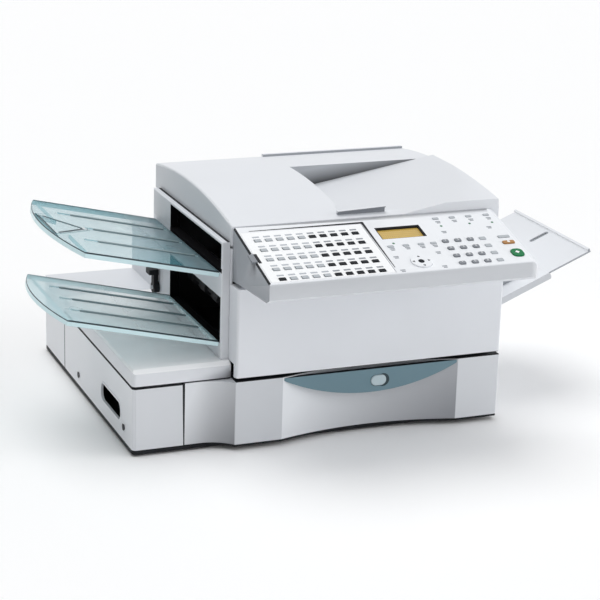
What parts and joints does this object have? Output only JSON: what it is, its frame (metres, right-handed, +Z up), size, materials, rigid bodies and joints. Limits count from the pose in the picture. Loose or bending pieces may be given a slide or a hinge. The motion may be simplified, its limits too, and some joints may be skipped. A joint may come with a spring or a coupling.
{
  "type": "fax machine",
  "caption": "Desktop fax machine with a sloped control panel, a document feeder lid, exit trays on the left, a fold-up bypass tray and a pull-out paper cassette.",
  "frame": {"origin": "on the table under the middle of the whole machine with its trays", "axes": "+X to the machine's right as seen from the front, +Y to its back, +Z up"},
  "size_m": [0.8502, 0.614, 0.3439],
  "materials": {
    "housing": "fine matte",
    "cassette_grey": "fine matte",
    "tray_grey": "matte",
    "tray_teal": "satin translucent tint",
    "handle_teal": "matte",
    "leaf_white": "matte",
    "keys_light": "matte",
    "keys_dark": "matte",
    "dial_keys": "matte",
    "start_green": "matte",
    "stop_amber": "matte",
    "screen_amber": "smooth",
    "black_plastic": "matte",
    "glass": "clear",
    "tray_inner": "matte",
    "steel": "plain",
    "roller_rubber": "matte",
    "gear_white": "smooth",
    "board_green": "solder mask",
    "frame_black": "matte",
    "feet_rubber": "matte",
    "screw_steel": "plain"
  },
  "bodies": {
    "chassis": {"deck_frame": "housing", "deck_lid": "housing", "rear_housing": "housing", "rear_sockets": "black_plastic", "main_board": "board_green", "left_side_cover": "housing", "right_side_cover": "housing", "exit_frame": "housing", "scanner_deck": "tray_grey", "scan_glass": "glass", "control_panel": "housing", "panel_underside": "housing", "display_module": "black_plastic", "display_screen": "screen_amber", "document_tray": "tray_teal", "print_tray": "tray_teal", "engine_frame": "frame_black", "drive_motor": "steel", "toner_cartridge": "black_plastic", "rubber_feet": "feet_rubber", "cover_screws": "screw_steel"},
    "cassette": {"cassette_front": "cassette_grey", "cassette_handle": "handle_teal", "cassette_tray": "tray_inner"},
    "heat_roller": {"heat_roller": "steel", "fuser_gear": "gear_white"},
    "release_lever": {"release_lever": "black_plastic"},
    "front_door": {"front_door": "housing"},
    "document_lid": {"document_lid": "housing"},
    "menu_keys": {"menu_keys": "keys_light"},
    "navigation_pad": {"navigation_pad": "keys_light"},
    "one_touch_leaf": {"one_touch_leaf": "leaf_white"},
    "one_touch_keys_light": {"one_touch_keys_light": "keys_light"},
    "one_touch_keys_dark": {"one_touch_keys_dark": "keys_dark"},
    "cassette_button": {"cassette_button": "handle_teal"},
    "lift_plate": {"lift_plate": "steel"},
    "document_stop": {"document_stop": "tray_teal"},
    "bypass_tray": {"bypass_tray": "tray_grey"},
    "bypass_extension": {"bypass_extension": "tray_grey"},
    "bypass_guide_front": {"bypass_guide_front": "tray_grey"},
    "bypass_guide_rear": {"bypass_guide_rear": "tray_grey"},
    "pressure_roller": {"pressure_roller": "roller_rubber"},
    "print_exit_roller": {"print_exit_roller": "roller_rubber"},
    "pickup_roller": {"pickup_roller": "roller_rubber"},
    "document_feed_roller": {"document_feed_roller": "roller_rubber"},
    "motor_pinion": {"motor_pinion": "gear_white"},
    "dial_key_one": {"dial_key_one": "dial_keys"},
    "dial_key_two": {"dial_key_two": "dial_keys"},
    "dial_key_three": {"dial_key_three": "dial_keys"},
    "dial_key_four": {"dial_key_four": "dial_keys"},
    "dial_key_five": {"dial_key_five": "dial_keys"},
    "dial_key_six": {"dial_key_six": "dial_keys"},
    "dial_key_seven": {"dial_key_seven": "dial_keys"},
    "dial_key_eight": {"dial_key_eight": "dial_keys"},
    "dial_key_nine": {"dial_key_nine": "dial_keys"},
    "dial_key_star": {"dial_key_star": "dial_keys"},
    "dial_key_zero": {"dial_key_zero": "dial_keys"},
    "dial_key_hash": {"dial_key_hash": "dial_keys"},
    "start_key": {"start_key": "start_green"},
    "stop_key": {"stop_key": "stop_amber"}
  },
  "joints": [
    {"name": "cassette_slide", "type": "slide", "parent": "chassis", "child": "cassette", "axis": [0, -1, 0], "range_m": [0, 0.3]},
    {"name": "cassette_button_press", "type": "slide", "parent": "cassette", "child": "cassette_button", "axis": [0, 1, 0], "range_m": [0, 0.003], "stiffness_N_per_m": 300},
    {"name": "lift_plate_pivot", "type": "hinge", "parent": "cassette", "child": "lift_plate", "pos_m": [-0.15528, -0.013, 0.014], "axis": [0, -1, 0], "range_deg": [0, 8]},
    {"name": "front_door_hinge", "type": "hinge", "parent": "chassis", "child": "front_door", "pos_m": [0.02972, -0.1884, 0.11], "axis": [1, 0, 0], "range_deg": [0, 85]},
    {"name": "document_lid_hinge", "type": "hinge", "parent": "chassis", "child": "document_lid", "pos_m": [0.02972, 0.178, 0.297], "axis": [-1, 0, 0], "range_deg": [0, 55]},
    {"name": "document_stop_hinge", "type": "hinge", "parent": "chassis", "child": "document_stop", "pos_m": [-0.39508, -0.012, 0.2968], "axis": [0, -1, 0], "range_deg": [0, 75]},
    {"name": "bypass_tray_hinge", "type": "hinge", "parent": "chassis", "child": "bypass_tray", "pos_m": [0.23872, 0.0075, 0.148], "axis": [0, -1, 0], "range_deg": [0, 50]},
    {"name": "bypass_extension_slide", "type": "slide", "parent": "bypass_tray", "child": "bypass_extension", "axis": [-0.9232, 0, -0.3843], "range_m": [0, 0.06]},
    {"name": "bypass_guide_front_slide", "type": "slide", "parent": "bypass_tray", "child": "bypass_guide_front", "axis": [0, 1, 0], "range_m": [0, 0.05]},
    {"name": "bypass_guide_rear_slide", "type": "slide", "parent": "bypass_tray", "child": "bypass_guide_rear", "axis": [0, 1, 0], "range_m": [-0.05, 0]},
    {"name": "release_lever_pivot", "type": "hinge", "parent": "chassis", "child": "release_lever", "pos_m": [-0.19228, 0.125, 0.148], "axis": [1, 0, 0], "range_deg": [0, 40]},
    {"name": "one_touch_leaf_hinge", "type": "hinge", "parent": "chassis", "child": "one_touch_leaf", "pos_m": [0.00872, -0.24066, 0.29492], "axis": [0, 0.9639, 0.2661], "range_deg": [0, 110]},
    {"name": "one_touch_keys_light_press", "type": "slide", "parent": "chassis", "child": "one_touch_keys_light", "axis": [0, 0.2661, -0.9639], "range_m": [0, 0.0007], "stiffness_N_per_m": 900},
    {"name": "one_touch_keys_dark_press", "type": "slide", "parent": "chassis", "child": "one_touch_keys_dark", "axis": [0, 0.2661, -0.9639], "range_m": [0, 0.0007], "stiffness_N_per_m": 900},
    {"name": "menu_keys_press", "type": "slide", "parent": "chassis", "child": "menu_keys", "axis": [0, 0.2661, -0.9639], "range_m": [0, 0.0008], "stiffness_N_per_m": 700},
    {"name": "navigation_pad_press", "type": "slide", "parent": "chassis", "child": "navigation_pad", "axis": [0, 0.2661, -0.9639], "range_m": [0, 0.001], "stiffness_N_per_m": 500},
    {"name": "dial_key_one_press", "type": "slide", "parent": "chassis", "child": "dial_key_one", "axis": [0, 0.2661, -0.9639], "range_m": [0, 0.0015], "stiffness_N_per_m": 400},
    {"name": "dial_key_two_press", "type": "slide", "parent": "chassis", "child": "dial_key_two", "axis": [0, 0.2661, -0.9639], "range_m": [0, 0.0015], "stiffness_N_per_m": 400},
    {"name": "dial_key_three_press", "type": "slide", "parent": "chassis", "child": "dial_key_three", "axis": [0, 0.2661, -0.9639], "range_m": [0, 0.0015], "stiffness_N_per_m": 400},
    {"name": "dial_key_four_press", "type": "slide", "parent": "chassis", "child": "dial_key_four", "axis": [0, 0.2661, -0.9639], "range_m": [0, 0.0015], "stiffness_N_per_m": 400},
    {"name": "dial_key_five_press", "type": "slide", "parent": "chassis", "child": "dial_key_five", "axis": [0, 0.2661, -0.9639], "range_m": [0, 0.0015], "stiffness_N_per_m": 400},
    {"name": "dial_key_six_press", "type": "slide", "parent": "chassis", "child": "dial_key_six", "axis": [0, 0.2661, -0.9639], "range_m": [0, 0.0015], "stiffness_N_per_m": 400},
    {"name": "dial_key_seven_press", "type": "slide", "parent": "chassis", "child": "dial_key_seven", "axis": [0, 0.2661, -0.9639], "range_m": [0, 0.0015], "stiffness_N_per_m": 400},
    {"name": "dial_key_eight_press", "type": "slide", "parent": "chassis", "child": "dial_key_eight", "axis": [0, 0.2661, -0.9639], "range_m": [0, 0.0015], "stiffness_N_per_m": 400},
    {"name": "dial_key_nine_press", "type": "slide", "parent": "chassis", "child": "dial_key_nine", "axis": [0, 0.2661, -0.9639], "range_m": [0, 0.0015], "stiffness_N_per_m": 400},
    {"name": "dial_key_star_press", "type": "slide", "parent": "chassis", "child": "dial_key_star", "axis": [0, 0.2661, -0.9639], "range_m": [0, 0.0015], "stiffness_N_per_m": 400},
    {"name": "dial_key_zero_press", "type": "slide", "parent": "chassis", "child": "dial_key_zero", "axis": [0, 0.2661, -0.9639], "range_m": [0, 0.0015], "stiffness_N_per_m": 400},
    {"name": "dial_key_hash_press", "type": "slide", "parent": "chassis", "child": "dial_key_hash", "axis": [0, 0.2661, -0.9639], "range_m": [0, 0.0015], "stiffness_N_per_m": 400},
    {"name": "start_key_press", "type": "slide", "parent": "chassis", "child": "start_key", "axis": [0, 0.2661, -0.9639], "range_m": [0, 0.0015], "stiffness_N_per_m": 400},
    {"name": "stop_key_press", "type": "slide", "parent": "chassis", "child": "stop_key", "axis": [0, 0.2661, -0.9639], "range_m": [0, 0.0015], "stiffness_N_per_m": 400},
    {"name": "heat_roller_spin", "type": "hinge", "parent": "chassis", "child": "heat_roller", "pos_m": [-0.11328, -0.004, 0.186], "axis": [0, 1, 0], "continuous": true},
    {"name": "pressure_roller_spin", "type": "hinge", "parent": "chassis", "child": "pressure_roller", "pos_m": [-0.11328, -0.004, 0.1556], "axis": [0, 1, 0], "continuous": true},
    {"name": "print_exit_roller_spin", "type": "hinge", "parent": "chassis", "child": "print_exit_roller", "pos_m": [-0.14382, -0.004, 0.17488], "axis": [0, 1, 0], "continuous": true},
    {"name": "motor_pinion_spin", "type": "hinge", "parent": "chassis", "child": "motor_pinion", "pos_m": [-0.09953, -0.004, 0.20982], "axis": [0, 1, 0], "continuous": true},
    {"name": "pickup_roller_spin", "type": "hinge", "parent": "chassis", "child": "pickup_roller", "pos_m": [0.15972, -0.004, 0.116], "axis": [0, 1, 0], "continuous": true},
    {"name": "document_feed_roller_spin", "type": "hinge", "parent": "chassis", "child": "document_feed_roller", "pos_m": [-0.02528, -0.004, 0.276], "axis": [0, 1, 0], "continuous": true}
  ],
  "couplings": [
    {"joint": "pressure_roller_spin", "follows": "heat_roller_spin", "ratio": -1},
    {"joint": "print_exit_roller_spin", "follows": "heat_roller_spin", "ratio": -1.6},
    {"joint": "motor_pinion_spin", "follows": "heat_roller_spin", "ratio": -2.6667},
    {"joint": "bypass_guide_rear_slide", "follows": "bypass_guide_front_slide", "ratio": -1}
  ]
}
